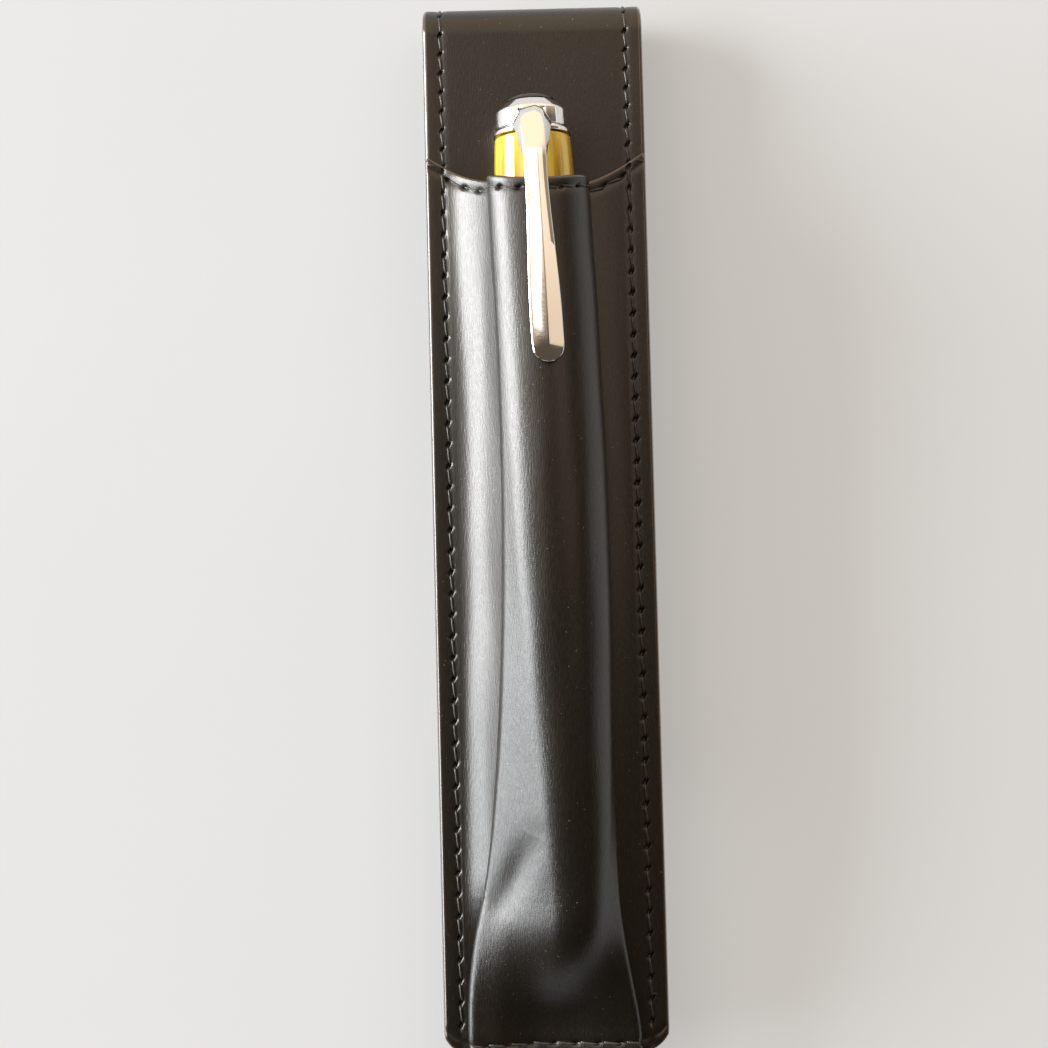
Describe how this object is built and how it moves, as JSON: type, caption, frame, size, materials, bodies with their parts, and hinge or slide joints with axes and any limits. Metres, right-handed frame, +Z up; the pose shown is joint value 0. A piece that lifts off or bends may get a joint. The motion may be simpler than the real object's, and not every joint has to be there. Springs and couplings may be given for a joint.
{
  "type": "fountain pen case",
  "caption": "Stitched black leather pen case: a strap folds over a hard cover, and its pleated pocket carries a capped fountain pen that pulls out.",
  "frame": {"origin": "bottom centre of the bounding box, on the outer face of the rear flap that the case lies on", "axes": "+X across the strap, +Y along it towards the fold over the cover's edge, +Z up, the way the pocket faces"},
  "size_m": [0.034, 0.161, 0.0271],
  "materials": {
    "black_leather": "smooth glossy",
    "leather_lining": "matt suede",
    "thread": "waxed twist",
    "chrome": "polished",
    "yellow_resin": "translucent streaked",
    "black_resin": "polished",
    "nib_steel": "polished steel",
    "feed_plastic": "matt",
    "clear_plastic": "clear"
  },
  "bodies": {
    "case": {"strap_outer": "black_leather", "strap_lining": "leather_lining", "fold_outer": "black_leather", "fold_lining": "leather_lining", "pocket_front": "black_leather", "mouth_facing": "leather_lining", "strap_thread_left": "thread", "strap_thread_right": "thread", "fold_thread_left": "thread", "fold_thread_right": "thread", "seam_thread_left": "thread", "seam_thread_right": "thread", "mouth_thread": "thread", "bottom_thread": "thread", "bar_tack_left": "thread", "bar_tack_right": "thread"},
    "flap": {"flap_outer": "black_leather", "flap_lining": "leather_lining", "flap_thread": "thread"},
    "pen": {"pen_barrel": "yellow_resin", "barrel_tail": "black_resin", "pen_section": "black_resin", "section_ring": "chrome", "pen_feed": "feed_plastic", "pen_nib": "nib_steel", "ink_converter": "clear_plastic", "converter_knob": "chrome"},
    "pen_cap": {"cap_tube": "yellow_resin", "cap_lip_band": "chrome", "inner_cap": "feed_plastic", "clip_ring": "chrome", "finial_ring": "chrome", "finial_dome": "black_resin", "pen_clip": "chrome"}
  },
  "joints": [
    {"name": "flap_fold", "type": "hinge", "parent": "case", "child": "flap", "pos_m": [0, 0.07789, 0.005], "axis": [1, 0, 0], "range_deg": [0, 70], "stiffness_Nm_per_rad": 0.012, "deforming": ["fold_outer", "fold_lining", "fold_thread_left", "fold_thread_right"]},
    {"name": "pen_slide", "type": "slide", "parent": "case", "child": "pen", "axis": [-0.0279, 0.9996, 0], "range_m": [0, 0.125]},
    {"name": "cap_pull", "type": "slide", "parent": "pen", "child": "pen_cap", "axis": [-0.0279, 0.9996, 0], "range_m": [0, 0.06]}
  ]
}
